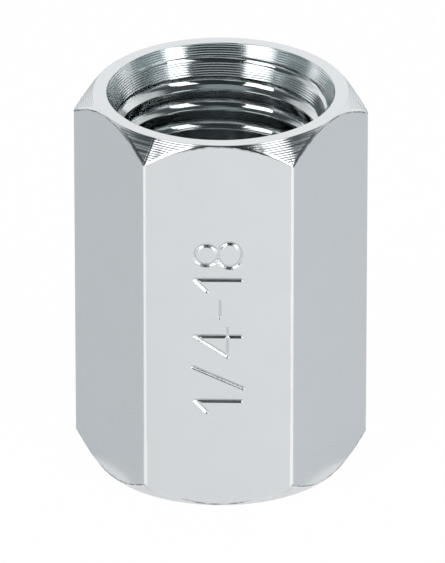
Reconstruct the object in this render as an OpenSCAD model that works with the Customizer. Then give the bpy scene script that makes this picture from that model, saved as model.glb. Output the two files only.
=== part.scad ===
// Threaded coupling: a short hexagonal bar with a through bore, for a taper pipe thread at each end.
// Millimetres. It stands on its lower end at z = 0, the bore runs along z, one flat faces -y.

/* [Bore] */
// Diameter of the through bore, which the thread's crests lie on
bore_d = 12.4; // [8:0.1:40]
// How much wider the countersink's mouth is than the bore, on each side
sink_w = 0.95; // [0.3:0.05:1.2]
// Angle across the countersink's cone
sink_angle = 45; // [30:5:90]

/* [Hexagon] */
// Metal between the bore and the middle of a flat; at 1.8 round a 12.4 bore it gives a 16 mm spanner size
wall = 1.8; // [1.4:0.1:4]
// How far the six long edges are rounded back from the hexagon's sharp corners
edge_trim = 0.055; // [0.02:0.005:0.2]
// Length from end to end
length = 25; // [16:0.5:60]

/* [End chamfers] */
// How far the flat end's circle lies inside the flats
face_inset = 0.05; // [0.02:0.01:0.15]
// Angle of the turned chamfer, up from the flat end
chamfer_angle = 48; // [30:1:60]

/* [Hidden] */
// Sides of the bar, and the turn from one side to the next
sides = 6;
side_turn = 360 / sides;
// Steps round a full circle
$fn = 128;
// Steel with a bright plating
plating = [0.8, 0.82, 0.83];
// How far the bar runs on past the turned shape, so that only the turned shape ends the part
past = 1;
// Radii of the bore and of the countersink's mouth
bore_r = bore_d / 2;
mouth_r = bore_r + sink_w;
// Distance from the axis to a flat, which is half the spanner size, and radius of the flat end's circle
flat_r = bore_r + wall;
face_r = flat_r - face_inset;
// Radius of the hexagon's sharp corners, and of the narrow round lands on its long edges
corner_r = flat_r / cos(side_turn / 2);
land_r = corner_r - edge_trim;
// Depths of the countersink, and of the chamfer where it reaches a long edge
sink_h = sink_w / tan(sink_angle / 2);
chamfer_h = (land_r - face_r) * tan(chamfer_angle);

// The drawn bar: six flats, with a corner on the x axis
module hex_bar() {
    translate([0, 0, -past])
        cylinder(h = length + 2 * past, r = corner_r, $fn = sides);
}

// The turned shape: lands on the long edges, chamfered ends, countersunk mouths and the bore.
// Its own seam lies between a long edge and the middle of a flat, so that it meets neither
module turned_shape() {
    rotate(side_turn / 4)
        rotate_extrude()
            polygon([
                [mouth_r, 0],
                [face_r, 0],
                [land_r, chamfer_h],
                [land_r, length - chamfer_h],
                [face_r, length],
                [mouth_r, length],
                [bore_r, length - sink_h],
                [bore_r, sink_h]
            ]);
}

// The coupling is what the bar and the turned shape share
module coupling() {
    color(plating)
        intersection() {
            turned_shape();
            hex_bar();
        }
}

coupling();
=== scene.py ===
import math

import bpy
import numpy as np
from mathutils import Matrix, Vector
from mathutils.geometry import delaunay_2d_cdt


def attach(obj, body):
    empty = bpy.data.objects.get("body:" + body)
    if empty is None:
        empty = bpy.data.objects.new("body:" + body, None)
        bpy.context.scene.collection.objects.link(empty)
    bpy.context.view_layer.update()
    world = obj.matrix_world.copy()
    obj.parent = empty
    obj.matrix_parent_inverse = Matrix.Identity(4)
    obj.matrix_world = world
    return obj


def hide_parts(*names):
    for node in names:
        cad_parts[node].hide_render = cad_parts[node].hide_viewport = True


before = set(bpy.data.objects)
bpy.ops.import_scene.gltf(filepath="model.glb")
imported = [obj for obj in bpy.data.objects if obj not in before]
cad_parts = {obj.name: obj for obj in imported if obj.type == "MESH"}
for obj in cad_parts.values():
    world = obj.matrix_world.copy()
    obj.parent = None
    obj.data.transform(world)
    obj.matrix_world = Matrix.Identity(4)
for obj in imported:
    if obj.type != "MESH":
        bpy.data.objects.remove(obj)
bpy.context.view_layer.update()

# The coupling: one short length of drawn hexagonal steel bar, drilled through, chamfered and
# countersunk at both ends on a lathe, then tapped from both ends with a right-hand taper pipe thread
# and bright plated. All sizes here are in millimetres until the mesh is made.
MM = 0.001
LENGTH = 25.0
SIDES = 6
FLAT_R = 8.0
EDGE_ROUND = 0.3
FACE_R = 7.95
CHAMFER = math.radians(48)
MOUTH_R = 7.15
BORE_R = 6.2
SINK = math.radians(22.5)
# The tools leave no edge quite sharp: how far each rounding reaches from its corner
MOUTH_BREAK = 0.035
RIM_BREAK = 0.05
SHOULDER_BREAK = (0.2, 0.03)
# No rounding takes up more than this share of the line that it lies on
BREAK_SHARE = 0.42
# How far the chamfer's lower edge wanders, and the width of each of the two flat rows below it, into
# which the painted shade line fades
UNEVEN = 0.012
SHADE_LINE_ROW_WIDTH = 0.11
SHADE_LINE_ROWS = 2
# A point this far down a flat gives the rounding above it its direction
DOWN_FLAT = 3
EDGE_STEPS = 5
FLAT_STEPS = 29
RIM_STEPS = 3
SHOULDER_STEPS = 5
CHAMFER_SPLITS = (0.33, 0.67)
half_turn = math.pi / SIDES
edge_centre = (FLAT_R - EDGE_ROUND) / math.cos(half_turn)


def section_columns():
    """Azimuth and radius of each column of vertices round the bar, edge by edge."""
    azimuths = []
    radii = []
    for k in range(SIDES):
        middle = 2 * k * half_turn
        for t in np.linspace(-half_turn, half_turn, EDGE_STEPS + 1):
            x = edge_centre + EDGE_ROUND * math.cos(t)
            y = EDGE_ROUND * math.sin(t)
            azimuths.append(middle + math.atan2(y, x))
            radii.append(math.hypot(x, y))
        start = azimuths[-1]
        end = middle + 2 * half_turn - (start - middle)
        for a in np.linspace(start, end, FLAT_STEPS + 1)[1:-1]:
            azimuths.append(a)
            radii.append(FLAT_R / math.cos(a - middle - half_turn))
    return np.array(azimuths), np.array(radii)


azimuth, outside = section_columns()
COLUMNS = len(azimuth)
SIDE_COLUMNS = COLUMNS // SIDES


def softened(before, corner, after, reach, steps):
    """Points of a rounding at corner that reaches that far along the line to each neighbour."""
    before, corner, after = (np.asarray(p, float) for p in (before, corner, after))
    to_before = before - corner
    to_after = after - corner
    len_before = np.linalg.norm(to_before, axis=0)
    len_after = np.linalg.norm(to_after, axis=0)
    reach_before, reach_after = np.broadcast_to(reach, 2)
    a = corner + to_before / len_before * np.minimum(reach_before, BREAK_SHARE * len_before)
    b = corner + to_after / len_after * np.minimum(reach_after, BREAK_SHARE * len_after)
    points = []
    for s in np.linspace(0, 1, steps + 1):
        points.append(a * (1 - s) ** 2 + corner * 2 * s * (1 - s) + b * s ** 2)
    return points


def end_rows(seed):
    """Radius of each row of one end and its drop below it, from the countersink to the flats."""
    flat = np.ones(COLUMNS)
    uneven = np.random.default_rng(seed).normal(0, UNEVEN, COLUMNS)
    drop = (outside - FACE_R) * math.tan(CHAMFER) + uneven
    in_sink = np.array([(MOUTH_R - math.tan(SINK)) * flat, flat])
    mouth = np.array([MOUTH_R * flat, 0 * flat])
    rim = np.array([FACE_R * flat, 0 * flat])
    shoulder = np.array([outside, drop])
    below = np.array([outside, drop + DOWN_FLAT])
    rows = softened(in_sink, mouth, rim, MOUTH_BREAK, RIM_STEPS)
    rows.append((mouth + rim) / 2)
    rows += softened(mouth, rim, shoulder, RIM_BREAK, RIM_STEPS)
    chamfer_start = rows[-1]
    rounding = softened(rim, shoulder, below, SHOULDER_BREAK, SHOULDER_STEPS)
    for s in CHAMFER_SPLITS:
        rows.append(chamfer_start * (1 - s) + rounding[0] * s)
    rows += rounding
    for widths in range(1, SHADE_LINE_ROWS + 1):
        rows.append(np.array([outside, rounding[-1][1] + widths * SHADE_LINE_ROW_WIDTH]))
    return rows


# The thread: 18 turns an inch, cut by a well-used taper tap whose rounded edge leaves round roots.
# The bore leaves the crests flat, each with a low lip that the tap has rolled along its upper edge.
PITCH = 1.4111
TAPER = 0.061
ROOT_AT_FACE = 6.795
# Above this depth the root widens faster towards the mouth
MOUTH_FLARE = 0.068
MOUTH_TURN = 2.24
# The upper side of each groove, and the lower side, which the tap's drag has opened: the root's
# radius and the flank's angle across the axis
UPPER_SIDE = (0.2, math.radians(30))
LOWER_SIDE = (0.54, math.radians(38))
# Nearer the mouth, where the tap's rounded edge has cut less deep, the lower side's root is tighter
FULL_ROOT_DEPTH = 3.65
ROOT_LOSS = 0.085
START_DEPTH = 2.233
START_AZIMUTH = math.radians(91.0)
CREST_BREAK = 0.03
CREST_BREAK_SHARE = 0.4
LIP_WIDTH = 0.06
LIP_RISE = 0.012
LIP_WHOLE_DEPTH = 0.2
THINNEST = 0.006
# Rows across each side of a groove: on the lip as shares of its width and rise, on the flank's edge
# as shares of the crest's rounding, and on the root in degrees of its arc
LIP_SECTION = ((1, 0), (0.62, 0.27), (0.25, 0.62))
EDGE_SECTION = (0, 0.35)
ROOT_SPLITS = (62, 50, 37, 24, 12)
WIDEST_SPLIT = 85
HALVINGS = 30


def base_radius(depth):
    """Radius of the bore and its countersinks at a depth below the upper end."""
    d = np.minimum(depth, LENGTH - depth)
    return np.maximum(BORE_R, MOUTH_R - d * math.tan(SINK))


def root_radius(depth):
    """Radius of the thread's root at a depth, from whichever end is nearer."""
    d = np.minimum(depth, LENGTH - depth)
    return ROOT_AT_FACE - d * TAPER + MOUTH_FLARE * np.maximum(0, MOUTH_TURN - d)


def groove_radius(root, offset, side):
    """Radius of a groove's side at a distance along the axis: an arc that runs into a flank."""
    arc_r, flank = side
    w = np.abs(offset)
    touch_w = arc_r * math.cos(flank)
    touch_r = root - arc_r * (1 - math.sin(flank))
    arc = root - arc_r + np.sqrt(np.maximum(arc_r ** 2 - w ** 2, 0))
    return np.where(w < touch_w, arc, touch_r - (w - touch_w) / math.tan(flank))


def half_width(centre, root, way, side):
    """How far a groove's side runs from its root, up (-1) or down (1), until it meets the bore."""
    low = np.zeros_like(centre)
    high = np.full_like(centre, PITCH / 2)
    for _ in range(HALVINGS):
        w = (low + high) / 2
        inside = groove_radius(root, w, side) > base_radius(centre + way * w)
        low = np.where(inside, w, low)
        high = np.where(inside, high, w)
    return np.maximum(low, THINNEST)


def groove_rows(centre):
    """Depth and radius of the rows across one groove, from its upper edge to its lower edge."""
    root = root_radius(centre)
    from_end = np.minimum(centre, LENGTH - centre)
    lower_root = LOWER_SIDE[0] - ROOT_LOSS * np.maximum(0, FULL_ROOT_DEPTH - from_end)
    rows = []
    for way, side in ((-1, UPPER_SIDE), (1, (lower_root, LOWER_SIDE[1]))):
        w = half_width(centre, root, way, side)
        deep = np.clip((root - base_radius(centre + way * w)) / LIP_WHOLE_DEPTH, 0, 1)
        crest_break = np.minimum(CREST_BREAK, CREST_BREAK_SHARE * w)
        # The lip lies on the crest below the groove, where a full thread has been cut
        lip_w = crest_break + (LIP_WIDTH * deep if way > 0 else 0)
        lip_r = LIP_RISE * deep * (1 if way > 0 else 0)
        half = []
        for s, rise in LIP_SECTION:
            depth = centre + way * (w + lip_w * s)
            half.append((depth, base_radius(depth) + lip_r * rise))
        edge_w = w - lip_r * math.tan(side[1])
        for back in EDGE_SECTION:
            across = edge_w - back * crest_break
            depth = centre + way * across
            radius = np.maximum(groove_radius(root, across, side), base_radius(depth) + lip_r)
            half.append((depth, radius))
        for split in ROOT_SPLITS:
            on_arc = side[0] * math.sin(math.radians(split))
            across = np.minimum(on_arc, edge_w * split / WIDEST_SPLIT)
            depth = centre + way * across
            half.append((depth, np.maximum(groove_radius(root, across, side), base_radius(depth))))
        if way < 0:
            rows += half
            rows.append((centre, np.maximum(root, base_radius(centre))))
        else:
            rows += half[::-1]
    return rows


GROOVE_ROWS = 2 * (len(LIP_SECTION) + len(EDGE_SECTION) + len(ROOT_SPLITS)) + 1
CREST_ROWS = 2
TURN_ROWS = GROOVE_ROWS + CREST_ROWS
# How far the crest's two rows lie from the bend into a countersink, and the shares of the crest that
# stay free above them, between them, below the first and below the second
KINK = 0.02
FREE_ABOVE = 0.2
FREE_BETWEEN = 0.1
FREE_BELOW_FIRST = 0.4
FREE_BELOW_SECOND = 0.2
sink_depth = (MOUTH_R - BORE_R) / math.tan(SINK)


def crest_rows(above, below):
    """Two rows on the crest between two grooves, which take up the bend into a countersink."""
    top = above[-1][0]
    bottom = below[0][0]
    gap = bottom - top
    middle = (top + bottom) / 2
    bend = np.where(middle < LENGTH / 2, sink_depth, LENGTH - sink_depth)
    first = np.clip(bend - KINK, top + FREE_ABOVE * gap, bottom - FREE_BELOW_FIRST * gap)
    second = np.clip(bend + KINK, first + FREE_BETWEEN * gap, bottom - FREE_BELOW_SECOND * gap)
    return [(first, base_radius(first)), (second, base_radius(second))]


def bore_rows(ring_depth):
    """Depth and radius of every row down the bore. A row climbs one pitch with each turn."""
    first_centre = START_DEPTH - PITCH * (azimuth - START_AZIMUTH) / (2 * math.pi)
    turn = math.floor((ring_depth - PITCH / 2 - first_centre[0]) / PITCH) + 1
    grooves = []
    while True:
        centre = first_centre + turn * PITCH
        grooves.append(groove_rows(np.clip(centre, 0.0, LENGTH)))
        if centre[0] - PITCH / 2 > LENGTH - ring_depth:
            break
        turn += 1
    rows = []
    for g, groove in enumerate(grooves):
        rows += groove
        if g + 1 < len(grooves):
            rows += crest_rows(groove, grooves[g + 1])
        else:
            rows += [groove[-1]] * CREST_ROWS
    return rows


vertices = []
faces = []
finish_of_face = []
FLATS, TURNED, SINKS, THREAD, SHOULDERS = range(5)


def add_ring(radius, height):
    """Adds one vertex to each column, and gives their numbers."""
    start = len(vertices)
    for a, r, z in zip(azimuth, radius, height):
        vertices.append((r * math.cos(a), r * math.sin(a), z))
    return np.arange(start, start + COLUMNS)


def add_face(corners, finish):
    """Adds a face, unless its corners have run together. Corners that repeat are dropped."""
    kept = [c for i, c in enumerate(corners) if c != corners[i - 1]]
    if len(set(kept)) < 3:
        return
    faces.append(tuple(int(c) for c in kept))
    finish_of_face.append(finish)


# Both ends and the six sides, row by row
TOP_SEED = 3
BOTTOM_SEED = 4
top_rings = [add_ring(r, LENGTH - drop) for r, drop in end_rows(TOP_SEED)]
bottom_rings = [add_ring(r, drop) for r, drop in end_rows(BOTTOM_SEED)]
shoulder_end = len(top_rings) - SHADE_LINE_ROWS - 1
shoulder_start = shoulder_end - SHOULDER_STEPS
# A painted shade line lies along the last two rings of each rounding
on_painted_shade_line = set()
for rings in (top_rings, bottom_rings):
    for ring in rings[shoulder_end - 1:shoulder_end + 1]:
        on_painted_shade_line.update(int(v) for v in ring)
FRONT_SIDE = 4
front_start = FRONT_SIDE * SIDE_COLUMNS + EDGE_STEPS
front_end = (FRONT_SIDE + 1) * SIDE_COLUMNS
for rings, upwards in ((top_rings, True), (bottom_rings, False)):
    for k, (inner, outer) in enumerate(zip(rings[:-1], rings[1:])):
        if k < shoulder_start:
            finish = TURNED
        elif k < shoulder_end:
            finish = SHOULDERS
        else:
            finish = FLATS
        for i in range(COLUMNS):
            n = (i + 1) % COLUMNS
            corners = (inner[i], outer[i], outer[n], inner[n])
            add_face(corners if upwards else corners[::-1], finish)
top_edge = top_rings[-1]
bottom_edge = bottom_rings[-1]
for i in range(COLUMNS):
    n = (i + 1) % COLUMNS
    if not front_start <= i < front_end:
        add_face((top_edge[i], bottom_edge[i], bottom_edge[n], top_edge[n]), FLATS)

# The bore, whose rows close on each other one turn further on. A row that comes this close to an
# end's ring joins it.
top_ring = top_rings[0]
bottom_ring = bottom_rings[0]
ring_depth = LENGTH - vertices[top_ring[0]][2]
CLEAR = 0.012
number_of = []
for depth, radius in bore_rows(ring_depth):
    ring = np.empty(COLUMNS, int)
    for i in range(COLUMNS):
        if depth[i] < ring_depth + CLEAR:
            ring[i] = top_ring[i]
        elif depth[i] > LENGTH - ring_depth - CLEAR:
            ring[i] = bottom_ring[i]
        else:
            ring[i] = len(vertices)
            a = azimuth[i]
            vertices.append((radius[i] * math.cos(a), radius[i] * math.sin(a), LENGTH - depth[i]))
    number_of.append(ring)
ROWS = len(number_of)


def bore_vertex(row, column):
    """Number of the vertex at a row and column, where rows past either end close on its ring."""
    if column == COLUMNS:
        row -= TURN_ROWS
        column = 0
    if row < 0:
        return top_ring[column]
    if row >= ROWS:
        return bottom_ring[column]
    return number_of[row][column]


lip_rows = len(LIP_SECTION)
for row in range(-1, ROWS + TURN_ROWS):
    place = row % TURN_ROWS
    in_groove = lip_rows <= place < GROOVE_ROWS - lip_rows - 1
    for i in range(COLUMNS):
        corners = (
            bore_vertex(row, i),
            bore_vertex(row, i + 1),
            bore_vertex(row + 1, i + 1),
            bore_vertex(row + 1, i),
        )
        middle_z = sum(vertices[c][2] for c in corners) / 4
        in_sink = min(middle_z, LENGTH - middle_z) < sink_depth
        add_face(corners, SINKS if in_sink and not in_groove else THREAD)

# The front flat carries the thread's size, stamped along it with V-shaped punches. Strokes are in
# letter heights: along the line of numerals, then up from its foot.
LETTER = 2.9
FOOT_X = 1.42
LINE_Z = 6.6
STROKE_W = 0.27
STROKE_DEPTH = 0.115
# The punch is a little blunt: the stroke ends at this share of its full depth
PUNCH_TIP = 0.92
# The lip beside a stroke: its rise, how far from the stroke it lies, and its spread
LIP = 0.006
LIP_AWAY = 0.05
LIP_SPREAD = 0.04
# Vertices along the strokes: the step between them, the grid on which close ones are one, and how
# far one may lie nearer to another stroke
STAMP_STEP = 0.07
STAMP_GRID = 0.012
STAMP_SLACK = 0.02
ROUND_END = range(-75, 76, 25)


def arc(cx, cy, rx, ry, start, end, steps=26):
    """Points of an elliptical arc, by angles in degrees."""
    turn = np.radians(np.linspace(start, end, steps + 1))
    return [(cx + rx * math.cos(t), cy + ry * math.sin(t)) for t in turn]


ONE = [[(0.0, 0.74), (0.27, 1.0), (0.27, 0.0)]]
SLASH = [[(0.0, -0.04), (0.5, 1.04)]]
FOUR = [[(0.48, 0.0), (0.48, 1.0), (0.0, 0.3), (0.66, 0.3)]]
DASH = [[(0.0, 0.46), (0.36, 0.46)]]
EIGHT = [arc(0.29, 0.75, 0.235, 0.25, 0, 360), arc(0.29, 0.25, 0.29, 0.25, 0, 360)]
NUMERALS = [(ONE, 0.0), (SLASH, 0.58), (FOUR, 1.34), (DASH, 2.28), (ONE, 2.9), (EIGHT, 3.46)]


def stroke_segments():
    """Ends of every straight bit of the numerals, as x and z on the flat."""
    ends = []
    for strokes, along in NUMERALS:
        for stroke in strokes:
            points = [(FOOT_X - v * LETTER, LINE_Z + (u + along) * LETTER) for u, v in stroke]
            ends += list(zip(points[:-1], points[1:]))
    return np.array(ends)


def stroke_distance(points):
    """Distance from each point to the nearest stroke's middle line."""
    nearest = np.full(len(points), 1e9)
    for a, b in stroke_segments():
        along = b - a
        t = np.clip((points - a) @ along / (along @ along), 0, 1)
        nearest = np.minimum(nearest, np.linalg.norm(points - a - t[:, None] * along, axis=1))
    return nearest


def stamped_depth(distance):
    """How deep the punch has pressed the flat, with the low lip that it raises beside it."""
    half = STROKE_W / 2
    groove = STROKE_DEPTH * np.clip(1 - distance / half, 0, PUNCH_TIP)
    lip = LIP * np.exp(-(((distance - half - LIP_AWAY) / LIP_SPREAD) ** 2))
    return groove - np.where(distance > half, lip, 0)


def stamp_points():
    """Points on the flat that follow each stroke in lines, so that its facets come out crisp."""
    half = STROKE_W / 2
    offsets = [0, 0.08 * half, half * 0.55, half]
    offsets += [half + beside for beside in (0.025, 0.05, 0.1, 0.17)]
    kept = {}
    for a, b in stroke_segments():
        length = np.linalg.norm(b - a)
        along = (b - a) / length
        across = np.array([-along[1], along[0]])
        steps = max(1, round(length / STAMP_STEP))
        for i in range(steps + 1):
            middle = a + along * length * i / steps
            for offset in offsets:
                for side in (-1, 1):
                    point = middle + across * side * offset
                    cell = (round(point[0] / STAMP_GRID), round(point[1] / STAMP_GRID))
                    kept.setdefault(cell, (offset, point))
        for end, way in ((a, -1), (b, 1)):
            for offset in offsets[1:]:
                for turn in np.radians(ROUND_END):
                    ray = along * way * math.cos(turn) + across * math.sin(turn)
                    point = end + offset * ray
                    cell = (round(point[0] / STAMP_GRID), round(point[1] / STAMP_GRID))
                    kept.setdefault(cell, (offset, point))
    offset = np.array([o for o, _ in kept.values()])
    points = np.array([p for _, p in kept.values()])
    # Where strokes meet, a line of points that another stroke's groove has taken is left out
    return points[stroke_distance(points) > offset - STAMP_SLACK]


bottom_side = [int(c) for c in bottom_edge[front_start:front_end + 1]]
top_side = [int(c) for c in top_edge[front_start:front_end + 1]]
border = bottom_side + top_side[::-1]
border_points = [(vertices[v][0], vertices[v][2]) for v in border]
fine = stamp_points()
# The rest of the flat has a wide grid of vertices, which keeps clear of the strokes
COARSE_STEP = 0.8
COARSE_CLEAR = 0.3
coarse_x = np.arange(-3.6, 3.7, COARSE_STEP)
coarse_z = np.arange(2.2, 23, COARSE_STEP)
coarse = np.array([(x, z) for x in coarse_x for z in coarse_z])
coarse = coarse[stroke_distance(coarse) > STROKE_W / 2 + COARSE_CLEAR]
points = border_points + [tuple(p) for p in fine] + [tuple(p) for p in coarse]
ring_edges = [(i, (i + 1) % len(border)) for i in range(len(border))]
INSIDE_ONLY = 1
SAME_POINT = 1e-5
flat_points, _, flat_faces, source, _, _ = delaunay_2d_cdt(
    [Vector(p) for p in points], ring_edges, [list(range(len(border)))], INSIDE_ONLY, SAME_POINT
)
pressed = stamped_depth(stroke_distance(np.array([tuple(p) for p in flat_points])))
number = []
for p, came_from, depth in zip(flat_points, source, pressed):
    on_border = [s for s in came_from if s < len(border)]
    if on_border:
        number.append(border[on_border[0]])
    else:
        number.append(len(vertices))
        vertices.append((p.x, -FLAT_R + depth, p.y))
for face in flat_faces:
    add_face([number[c] for c in face], FLATS)

coupling_mesh = bpy.data.meshes.new("coupling_body")
coupling_mesh.from_pydata([tuple(c * MM for c in v) for v in vertices], [], faces)
coupling_mesh.update()
coupling = bpy.data.objects.new("coupling_body", coupling_mesh)
bpy.context.scene.collection.objects.link(coupling)


def smooth_by_area(mesh):
    """Smooth shading in which large faces keep their own direction and roundings take the turn."""
    count = len(mesh.polygons)
    normals = np.empty(count * 3)
    areas = np.empty(count)
    mesh.polygons.foreach_get("normal", normals)
    mesh.polygons.foreach_get("area", areas)
    loop_total = np.empty(count, int)
    mesh.polygons.foreach_get("loop_total", loop_total)
    loop_vertex = np.empty(len(mesh.loops), int)
    mesh.loops.foreach_get("vertex_index", loop_vertex)
    weighted = normals.reshape(-1, 3) * areas[:, None]
    per_loop = np.repeat(weighted, loop_total, axis=0)
    summed = np.zeros((len(mesh.vertices), 3))
    np.add.at(summed, loop_vertex, per_loop)
    summed /= np.maximum(np.linalg.norm(summed, axis=1), 1e-12)[:, None]
    mesh.polygons.foreach_set("use_smooth", np.ones(count, bool))
    mesh.normals_split_custom_set_from_vertices(summed.tolist())


smooth_by_area(coupling_mesh)
# The painted shade line fades out on the front flat towards its corners: from this far off its middle,
# over this run, and nowhere beyond the flat's own width
SHADE_FADE_START = 1.7
SHADE_FADE_RUN = 0.7
SHADE_FADE_END = 4.62
ON_FRONT = 0.05
painted_shade_line = coupling_mesh.attributes.new("painted_shade_line", "FLOAT", "POINT")
painted_shade_value = np.ones(len(vertices))
painted_shade_value[[v for v in range(len(vertices)) if v not in on_painted_shade_line]] = 0
for v in on_painted_shade_line:
    x, y, _ = vertices[v]
    if y < -FLAT_R + ON_FRONT and abs(x) < SHADE_FADE_END:
        painted_shade_value[v] -= min(1, max(0, (abs(x) - SHADE_FADE_START) / SHADE_FADE_RUN))
painted_shade_line.data.foreach_set("value", painted_shade_value)
coupling_mesh.polygons.foreach_set("material_index", finish_of_face)

# The steel's finishes: one bright plating over the drawn flats, the turned ends, the countersinks,
# the cut thread and the rounded shoulders. Lengths in the materials are in metres.
PLATING = (0.72, 0.742, 0.758, 1)
# Paler colour of the long edges: burnishing, with a painted highlight on top of it
BURNISHED_AND_SHEEN = (0.91, 0.92, 0.93, 1)
THREAD_PLATING = (0.70, 0.735, 0.745, 1)
# A dark colour, painted as shade along each chamfer's lower edge
PAINTED_SHADE_COLOUR = (0.13, 0.145, 0.155, 1)


def new_group(name, inputs, outputs):
    """An empty shader node group with float inputs and their values, and named outputs."""
    group = bpy.data.node_groups.new(name, "ShaderNodeTree")
    for label, value in inputs:
        socket = group.interface.new_socket(label, in_out="INPUT", socket_type="NodeSocketFloat")
        socket.default_value = value
    for label in outputs:
        group.interface.new_socket(label, in_out="OUTPUT", socket_type="NodeSocketFloat")
    return group, group.nodes.new("NodeGroupInput"), group.nodes.new("NodeGroupOutput")


def math_node(tree, operation, *values):
    """A math node whose inputs are numbers or other nodes' outputs."""
    node = tree.nodes.new("ShaderNodeMath")
    node.operation = operation
    for socket, value in zip(node.inputs, values):
        if isinstance(value, (int, float)):
            socket.default_value = value
        else:
            tree.links.new(value, socket)
    return node.outputs[0]


def ramp_node(tree, value, low, high, to_low, to_high):
    """A smooth step of a value from low to high, between two results."""
    node = tree.nodes.new("ShaderNodeMapRange")
    node.interpolation_type = "SMOOTHSTEP"
    ends = {"From Min": low, "From Max": high, "To Min": to_low, "To Max": to_high}
    for label, given in ends.items():
        if isinstance(given, (int, float)):
            node.inputs[label].default_value = given
        else:
            tree.links.new(given, node.inputs[label])
    tree.links.new(value, node.inputs["Value"])
    return node.outputs["Result"]


def noise_node(tree, scale, detail):
    """Noise in the part's own coordinates: scale is how many of its cells a metre holds."""
    where = tree.nodes.new("ShaderNodeTexCoord")
    noise = tree.nodes.new("ShaderNodeTexNoise")
    noise.inputs["Scale"].default_value = scale
    noise.inputs["Detail"].default_value = detail
    tree.links.new(where.outputs["Object"], noise.inputs["Vector"])
    return noise.outputs["Fac"]


def from_axis(tree, x, y):
    """Distance of a place from the part's axis."""
    squares = math_node(tree, "ADD", math_node(tree, "MULTIPLY", x, x), math_node(tree, "MULTIPLY", y, y))
    return math_node(tree, "SQRT", squares)


# Tool marks: rings round the axis, one to each turn of the lathe, no two quite alike. The weakest
# ring has this share of the depth, and the strongest has the rest on top.
STREAK_SQUEEZE = 0.012
STREAK_SCALE = 4000
RING_WANDER_SCALE = 400
RING_WANDER = 0.8
WEAKEST_RING = 0.6
RING_VARIATION = 0.8
tool_marks, given, result = new_group(
    "tool_marks",
    [("Feed", 0.00014), ("Depth", 0.000004), ("Chatter", 0.3)],
    ["Height"],
)
where = tool_marks.nodes.new("ShaderNodeTexCoord")
split = tool_marks.nodes.new("ShaderNodeSeparateXYZ")
tool_marks.links.new(where.outputs["Object"], split.inputs[0])
x, y, z = split.outputs
climb = math_node(tool_marks, "DIVIDE", math_node(tool_marks, "ARCTAN2", y, x), 2 * math.pi)
feeds = math_node(tool_marks, "DIVIDE", z, given.outputs["Feed"])
turns = math_node(tool_marks, "ADD", feeds, climb)
# The round way is drawn together, so that the noise comes out in long streaks along the rings
unrolled = tool_marks.nodes.new("ShaderNodeCombineXYZ")
tool_marks.links.new(math_node(tool_marks, "MULTIPLY", climb, STREAK_SQUEEZE), unrolled.inputs[0])
tool_marks.links.new(z, unrolled.inputs[1])
streaks = tool_marks.nodes.new("ShaderNodeTexNoise")
streaks.inputs["Scale"].default_value = STREAK_SCALE
streaks.inputs["Detail"].default_value = 1
tool_marks.links.new(unrolled.outputs[0], streaks.inputs["Vector"])
wander_noise = noise_node(tool_marks, RING_WANDER_SCALE, 0)
wander = math_node(tool_marks, "MULTIPLY", wander_noise, RING_WANDER)
wandering = math_node(tool_marks, "ADD", turns, wander)
ring = math_node(tool_marks, "SINE", math_node(tool_marks, "MULTIPLY", wandering, 2 * math.pi))
ring_number = math_node(tool_marks, "FLOOR", wandering)
dice = tool_marks.nodes.new("ShaderNodeTexWhiteNoise")
dice.noise_dimensions = "1D"
tool_marks.links.new(ring_number, dice.inputs["W"])
strength = math_node(tool_marks, "MULTIPLY_ADD", dice.outputs["Value"], RING_VARIATION, WEAKEST_RING)
tear = math_node(tool_marks, "MULTIPLY", streaks.outputs["Fac"], given.outputs["Chatter"])
height = math_node(tool_marks, "MULTIPLY_ADD", ring, strength, tear)
marks_height = math_node(tool_marks, "MULTIPLY", height, given.outputs["Depth"])
tool_marks.links.new(marks_height, result.inputs["Height"])

# Plating mottle: the slow changes of gloss in a bright deposit, with a little fine grain in them
PATCH_SCALE = 260
PATCH_SHARE = 0.85
GRAIN_SCALE = 3000
GRAIN_SHARE = 0.15
mottle, given, result = new_group("plating_mottle", [("Low", 0.2), ("High", 0.3)], ["Gloss"])
patches = math_node(mottle, "MULTIPLY", noise_node(mottle, PATCH_SCALE, 4), PATCH_SHARE)
mixed = math_node(mottle, "MULTIPLY_ADD", noise_node(mottle, GRAIN_SCALE, 0), GRAIN_SHARE, patches)
gloss = ramp_node(mottle, mixed, 0.35, 0.65, given.outputs["Low"], given.outputs["High"])
mottle.links.new(gloss, result.inputs["Gloss"])


def plated(name, colour, low, high):
    """A bright metal material whose roughness is mottled from low to high, its tree and shader."""
    material = bpy.data.materials.new(name)
    material.use_nodes = True
    tree = material.node_tree
    shader = tree.nodes["Principled BSDF"]
    shader.inputs["Base Color"].default_value = colour
    shader.inputs["Metallic"].default_value = 1
    gloss = tree.nodes.new("ShaderNodeGroup")
    gloss.node_tree = mottle
    gloss.inputs["Low"].default_value = low
    gloss.inputs["High"].default_value = high
    tree.links.new(gloss.outputs["Gloss"], shader.inputs["Roughness"])
    return material, tree, shader


def marked(tree, shader, feed, depth, chatter):
    """Adds tool marks to a material: the tool's feed a turn, their depth and how torn they are."""
    marks = tree.nodes.new("ShaderNodeGroup")
    marks.node_tree = tool_marks
    marks.inputs["Feed"].default_value = feed
    marks.inputs["Depth"].default_value = depth
    marks.inputs["Chatter"].default_value = chatter
    bump = tree.nodes.new("ShaderNodeBump")
    bump.inputs["Distance"].default_value = 1
    tree.links.new(marks.outputs["Height"], bump.inputs["Height"])
    tree.links.new(bump.outputs["Normal"], shader.inputs["Normal"])


SHADE_LINE_SCALE = 1500
FAINTEST_SHADE_LINE = 0.25


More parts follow.
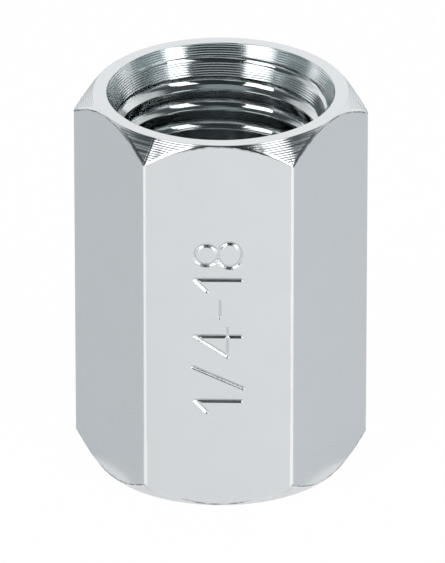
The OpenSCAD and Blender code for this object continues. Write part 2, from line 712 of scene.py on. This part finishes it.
def with_painted_shade_line(tree, shader, colour):
    """Paints shade in an uneven dark line where a chamfer meets a flat, over the colour."""
    shade_line_attribute = tree.nodes.new("ShaderNodeAttribute")
    shade_line_attribute.attribute_name = "painted_shade_line"
    broken = ramp_node(tree, noise_node(tree, SHADE_LINE_SCALE, 2), 0.35, 0.6, FAINTEST_SHADE_LINE, 1)
    line_shade = math_node(tree, "MULTIPLY", shade_line_attribute.outputs["Fac"], broken)
    lined = tree.nodes.new("ShaderNodeMix")
    lined.data_type = "RGBA"
    lined.inputs["A"].default_value = PLATING
    lined.inputs["B"].default_value = PAINTED_SHADE_COLOUR
    tree.links.new(line_shade, lined.inputs["Factor"])
    if colour is not None:
        tree.links.new(colour, lined.inputs["A"])
    tree.links.new(lined.outputs["Result"], shader.inputs["Base Color"])


# Drawn flats: smooth, with a fine grain, and long edges that handling has burnished, their paler colour
# also a painted highlight.
# The edges are what lies outside a radius, made ragged by noise and widened towards the part's foot.
WORN_SHEEN_FROM = 0.009182
WORN_SHEEN_WHOLE = 0.009196
RAGGED_SCALE = 700
RAGGED_BY = 0.00003
FOOT_BY = 0.00002
FOOT_LOW = 0.001
FOOT_HIGH = 0.007
FLAT_GRAIN_SCALE = 5000
FLAT_GRAIN_DEPTH = 0.0000002
flats, tree, shader = plated("drawn_flats", PLATING, low=0.2, high=0.28)
where = tree.nodes.new("ShaderNodeTexCoord")
split = tree.nodes.new("ShaderNodeSeparateXYZ")
tree.links.new(where.outputs["Object"], split.inputs[0])
x, y, z = split.outputs
radius = from_axis(tree, x, y)
ragged = math_node(tree, "MULTIPLY_ADD", noise_node(tree, RAGGED_SCALE, 2), RAGGED_BY, radius)
ragged = math_node(tree, "ADD", ragged, ramp_node(tree, z, FOOT_LOW, FOOT_HIGH, FOOT_BY, 0))
# The paler edge colour is partly wear and partly a painted highlight
worn_edge_and_sheen = ramp_node(tree, ragged, WORN_SHEEN_FROM, WORN_SHEEN_WHOLE, 0, 1)
colour = tree.nodes.new("ShaderNodeMix")
colour.data_type = "RGBA"
colour.inputs["A"].default_value = PLATING
colour.inputs["B"].default_value = BURNISHED_AND_SHEEN
tree.links.new(worn_edge_and_sheen, colour.inputs["Factor"])
# The painted shade line along the chamfers' edges reaches onto the flats' first rows
with_painted_shade_line(tree, shader, colour.outputs["Result"])
grain = math_node(tree, "MULTIPLY", noise_node(tree, FLAT_GRAIN_SCALE, 0), FLAT_GRAIN_DEPTH)
bump = tree.nodes.new("ShaderNodeBump")
bump.inputs["Distance"].default_value = 1
tree.links.new(grain, bump.inputs["Height"])
tree.links.new(bump.outputs["Normal"], shader.inputs["Normal"])
coupling_mesh.materials.append(flats)

# Turned ends: the lathe's feed shows as fine rings
turned, tree, shader = plated("turned_ends", PLATING, low=0.1, high=0.15)
marked(tree, shader, feed=0.000112, depth=0.0000056, chatter=0.2)
coupling_mesh.materials.append(turned)

# Countersinks: coarser rings than on the chamfers
sinks, tree, shader = plated("countersinks", THREAD_PLATING, low=0.13, high=0.19)
marked(tree, shader, feed=0.000139, depth=0.0000042, chatter=0.6)
coupling_mesh.materials.append(sinks)

# Bore and thread: smooth from the tap, with faint drag lines along the turns
thread, tree, shader = plated("cut_thread", THREAD_PLATING, low=0.07, high=0.11)
marked(tree, shader, feed=0.00009, depth=0.0000004, chatter=0.8)
coupling_mesh.materials.append(thread)

# Shoulders: the edge between each chamfer and flat, which the plating has rounded, with the painted shade
# line
shoulders, tree, shader = plated("rounded_shoulders", PLATING, low=0.1, high=0.15)
with_painted_shade_line(tree, shader, None)
coupling_mesh.materials.append(shoulders)

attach(coupling, "root")
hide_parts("coupling")

# The table: a white sheet, lit from above. It glows evenly for the camera, and in the part's reflections
# it carries a painted pool of light, brightest in front of the part and round its foot.
SHEET_SIZE = 4.0
SHEET_WHITE = (0.9, 0.9, 0.9, 1)
# The white tint of the painted pool of light and of the camera's view, and the cooler tint of the painted
# shade
WHITE_GLOW_TINT = (1, 1, 1, 1)
PAINTED_SHADE_TINT = (0.965, 1.005, 1.03, 1)
MIRRORED_SHARE = 0.85
CAMERA_SHARE = 0.985
PAINTED_POOL_BY = 0.27
half_sheet = SHEET_SIZE / 2
sheet_corners = [(a * half_sheet, b * half_sheet, 0) for a, b in ((-1, -1), (1, -1), (1, 1), (-1, 1))]
sheet_mesh = bpy.data.meshes.new("table_sheet")
sheet_mesh.from_pydata(sheet_corners, [], [(0, 1, 2, 3)])
sheet = bpy.data.objects.new("table_sheet", sheet_mesh)
bpy.context.scene.collection.objects.link(sheet)
glowing_sheet = bpy.data.materials.new("white_sheet_painted_glow")
glowing_sheet.use_nodes = True
tree = glowing_sheet.node_tree
tree.nodes.clear()
out = tree.nodes.new("ShaderNodeOutputMaterial")
matt = tree.nodes.new("ShaderNodeBsdfDiffuse")
matt.inputs["Color"].default_value = SHEET_WHITE
glow = tree.nodes.new("ShaderNodeEmission")
rays = tree.nodes.new("ShaderNodeLightPath")
where = tree.nodes.new("ShaderNodeTexCoord")
split = tree.nodes.new("ShaderNodeSeparateXYZ")
tree.links.new(where.outputs["Object"], split.inputs[0])
x, y, _ = split.outputs
radius = from_axis(tree, x, y)
# The painted glow reaches under the part's rounded foot, and painted shadow covers the sheet under its
# bore
painted_glow_past_bore = ramp_node(tree, radius, low=0.0072, high=0.0079, to_low=0, to_high=1)
# The painted light is brightest in front of the part and round its foot, with painted shade beside and
# behind it
in_front = ramp_node(tree, y, low=-0.0080, high=-0.0074, to_low=1, to_high=0)
at_foot = ramp_node(tree, radius, low=0.0086, high=0.0091, to_low=1, to_high=0)
beside = ramp_node(tree, x, low=-0.012, high=0.012, to_low=0.67, to_high=0.73)
brightest = math_node(tree, "MAXIMUM", in_front, at_foot)
glow_level = math_node(tree, "MULTIPLY_ADD", brightest, PAINTED_POOL_BY, beside)
tint = tree.nodes.new("ShaderNodeMix")
tint.data_type = "RGBA"
tint.inputs["A"].default_value = PAINTED_SHADE_TINT
tint.inputs["B"].default_value = WHITE_GLOW_TINT
white_glow_factor = math_node(tree, "MAXIMUM", brightest, rays.outputs["Is Camera Ray"])
tree.links.new(white_glow_factor, tint.inputs["Factor"])
tree.links.new(tint.outputs["Result"], glow.inputs["Color"])
glossy_ray = rays.outputs["Is Glossy Ray"]
mirrored = math_node(tree, "MAXIMUM", glossy_ray, rays.outputs["Is Transmission Ray"])
for_mirror = math_node(tree, "MULTIPLY", mirrored, MIRRORED_SHARE)
for_mirror = math_node(tree, "MULTIPLY", for_mirror, painted_glow_past_bore)
for_camera = math_node(tree, "MULTIPLY", rays.outputs["Is Camera Ray"], CAMERA_SHARE)
share = math_node(tree, "MAXIMUM", for_mirror, for_camera)
mix = tree.nodes.new("ShaderNodeMixShader")
glow_strength = math_node(tree, "MAXIMUM", glow_level, rays.outputs["Is Camera Ray"])
tree.links.new(glow_strength, glow.inputs["Strength"])
tree.links.new(share, mix.inputs["Fac"])
tree.links.new(matt.outputs[0], mix.inputs[1])
tree.links.new(glow.outputs[0], mix.inputs[2])
tree.links.new(mix.outputs[0], out.inputs["Surface"])
sheet_mesh.materials.append(glowing_sheet)

# The room, by direction: its wall behind the part is white, and greyer round to the sides. In front
# it is dim, with a pale low horizon and darkness above it, and the ceiling overhead is grey.
WALL_WHITE = (1.02, 1.02, 1.02, 1)
BEHIND_WHITE = (1, 1, 1, 1)
DARK_TINT = (0.85, 1.0, 1.04)
HORIZON_LEVEL = 0.68
FRONT_LEVEL = 0.035
CEILING_LEVEL = 0.32
NEARLY_UPRIGHT = 0.001
world = bpy.data.worlds.new("room")
world.use_nodes = True
bpy.context.scene.world = world
tree = world.node_tree
background = tree.nodes["Background"]
background.inputs["Strength"].default_value = 1
where = tree.nodes.new("ShaderNodeTexCoord")
split = tree.nodes.new("ShaderNodeSeparateXYZ")
tree.links.new(where.outputs["Generated"], split.inputs[0])
x, y, z = split.outputs
side_wall = ramp_node(tree, y, low=0.08, high=0.26, to_low=0, to_high=0.6)
back_wall = ramp_node(tree, y, low=0.3, high=0.65, to_low=0, to_high=0.4)
behind = math_node(tree, "ADD", side_wall, back_wall)
below_ceiling = ramp_node(tree, z, low=0.93, high=0.985, to_low=1, to_high=0)
wall = math_node(tree, "MULTIPLY", behind, below_ceiling)
# How far a direction points away from the camera's side, whatever its height
along_floor = math_node(tree, "MAXIMUM", from_axis(tree, x, y), NEARLY_UPRIGHT)
toward = math_node(tree, "DIVIDE", y, along_floor)
beside_level = ramp_node(tree, z, low=0.3, high=0.65, to_low=0.3, to_high=0.08)
dim_level = ramp_node(tree, toward, low=-0.95, high=-0.4, to_low=FRONT_LEVEL, to_high=beside_level)
low_level = ramp_node(tree, z, low=0.08, high=0.22, to_low=HORIZON_LEVEL, to_high=dim_level)
dark_level = ramp_node(tree, z, low=0.945, high=0.965, to_low=low_level, to_high=CEILING_LEVEL)
dark = tree.nodes.new("ShaderNodeCombineXYZ")
for socket, channel in zip(dark.inputs, DARK_TINT):
    tree.links.new(math_node(tree, "MULTIPLY", dark_level, channel), socket)
room = tree.nodes.new("ShaderNodeMix")
room.data_type = "RGBA"
room.inputs["B"].default_value = WALL_WHITE
tree.links.new(wall, room.inputs["Factor"])
tree.links.new(dark.outputs[0], room.inputs["A"])
rays = tree.nodes.new("ShaderNodeLightPath")
seen = tree.nodes.new("ShaderNodeMix")
seen.data_type = "RGBA"
seen.inputs["B"].default_value = BEHIND_WHITE
tree.links.new(rays.outputs["Is Camera Ray"], seen.inputs["Factor"])
tree.links.new(room.outputs["Result"], seen.inputs["A"])
tree.links.new(seen.outputs["Result"], background.inputs["Color"])

# The lamps: two long soft boxes on stands, which lean over the part from the front left and the front
# right, and two small lamps close by that the part doesn't mirror. All face the part's middle.
MIDDLE = Vector((0, 0, 0.014))
BOX_LENGTH = 0.425
BOX_BRIGHTNESS = 2.0
LAMP_SIZE = 0.04
LAMP_BRIGHTNESS = 14
UPRIGHT = (0, 0, 1)


def soft_box(name, place, lean, width, length, brightness, in_gloss=True):
    """A rectangular soft light that faces the part, with its length along the lean's direction."""
    light = bpy.data.lights.new(name, "AREA")
    light.shape = "RECTANGLE"
    light.size = width
    light.size_y = length
    light.energy = brightness * math.pi * width * length
    lamp = bpy.data.objects.new(name, light)
    up = Vector(lean).normalized()
    away = Vector(place) - MIDDLE
    away = (away - up * away.dot(up)).normalized()
    side = up.cross(away)
    lamp.matrix_world = Matrix((
        (side.x, up.x, away.x, place[0]),
        (side.y, up.y, away.y, place[1]),
        (side.z, up.z, away.z, place[2]),
        (0, 0, 0, 1),
    ))
    lamp.visible_camera = False
    lamp.visible_glossy = in_gloss
    bpy.context.scene.collection.objects.link(lamp)


for name, place, lean, width in (
    ("box_left", (-0.195, -0.2205, 0.184), (0.18, 0.496, 0.85), 0.16),
    ("box_right", (0.23, -0.183, 0.184), (-0.307, 0.41, 0.859), 0.123),
):
    soft_box(name, place, lean, width, BOX_LENGTH, BOX_BRIGHTNESS)
for name, place in (("table_lamp_left", (-0.1, -0.12, 0.08)), ("table_lamp_right", (0.1, -0.12, 0.08))):
    soft_box(name, place, UPRIGHT, LAMP_SIZE, LAMP_SIZE, LAMP_BRIGHTNESS, in_gloss=False)

# The camera: where the photograph was taken from, as fitted to the part's outline, with a long lens
# a good way off. Lengths are in metres and the sensor's width in millimetres.
CAMERA_AZIMUTH = math.radians(1.065)
CAMERA_ELEVATION = math.radians(26.15)
CAMERA_DISTANCE = 0.6718
CAMERA_TARGET = Vector((0.0001018, 0.0000019, 0.0117492))
FOCAL_PIXELS = 10673.6
PHOTO_HEIGHT = 563
SENSOR_WIDTH = 36
NEAREST = 0.01
FURTHEST = 20
camera_data = bpy.data.cameras.new("camera")
camera_data.sensor_width = SENSOR_WIDTH
camera_data.lens = FOCAL_PIXELS / PHOTO_HEIGHT * SENSOR_WIDTH
camera_data.clip_start = NEAREST
camera_data.clip_end = FURTHEST
camera = bpy.data.objects.new("camera", camera_data)
back = Vector((
    math.sin(CAMERA_AZIMUTH) * math.cos(CAMERA_ELEVATION),
    -math.cos(CAMERA_AZIMUTH) * math.cos(CAMERA_ELEVATION),
    math.sin(CAMERA_ELEVATION),
))
camera.location = CAMERA_TARGET + back * CAMERA_DISTANCE
camera.rotation_mode = "QUATERNION"
camera.rotation_quaternion = (-back).to_track_quat("-Z", "Y")
bpy.context.scene.collection.objects.link(camera)
bpy.context.scene.camera = camera
bpy.context.scene.view_settings.view_transform = "Standard"
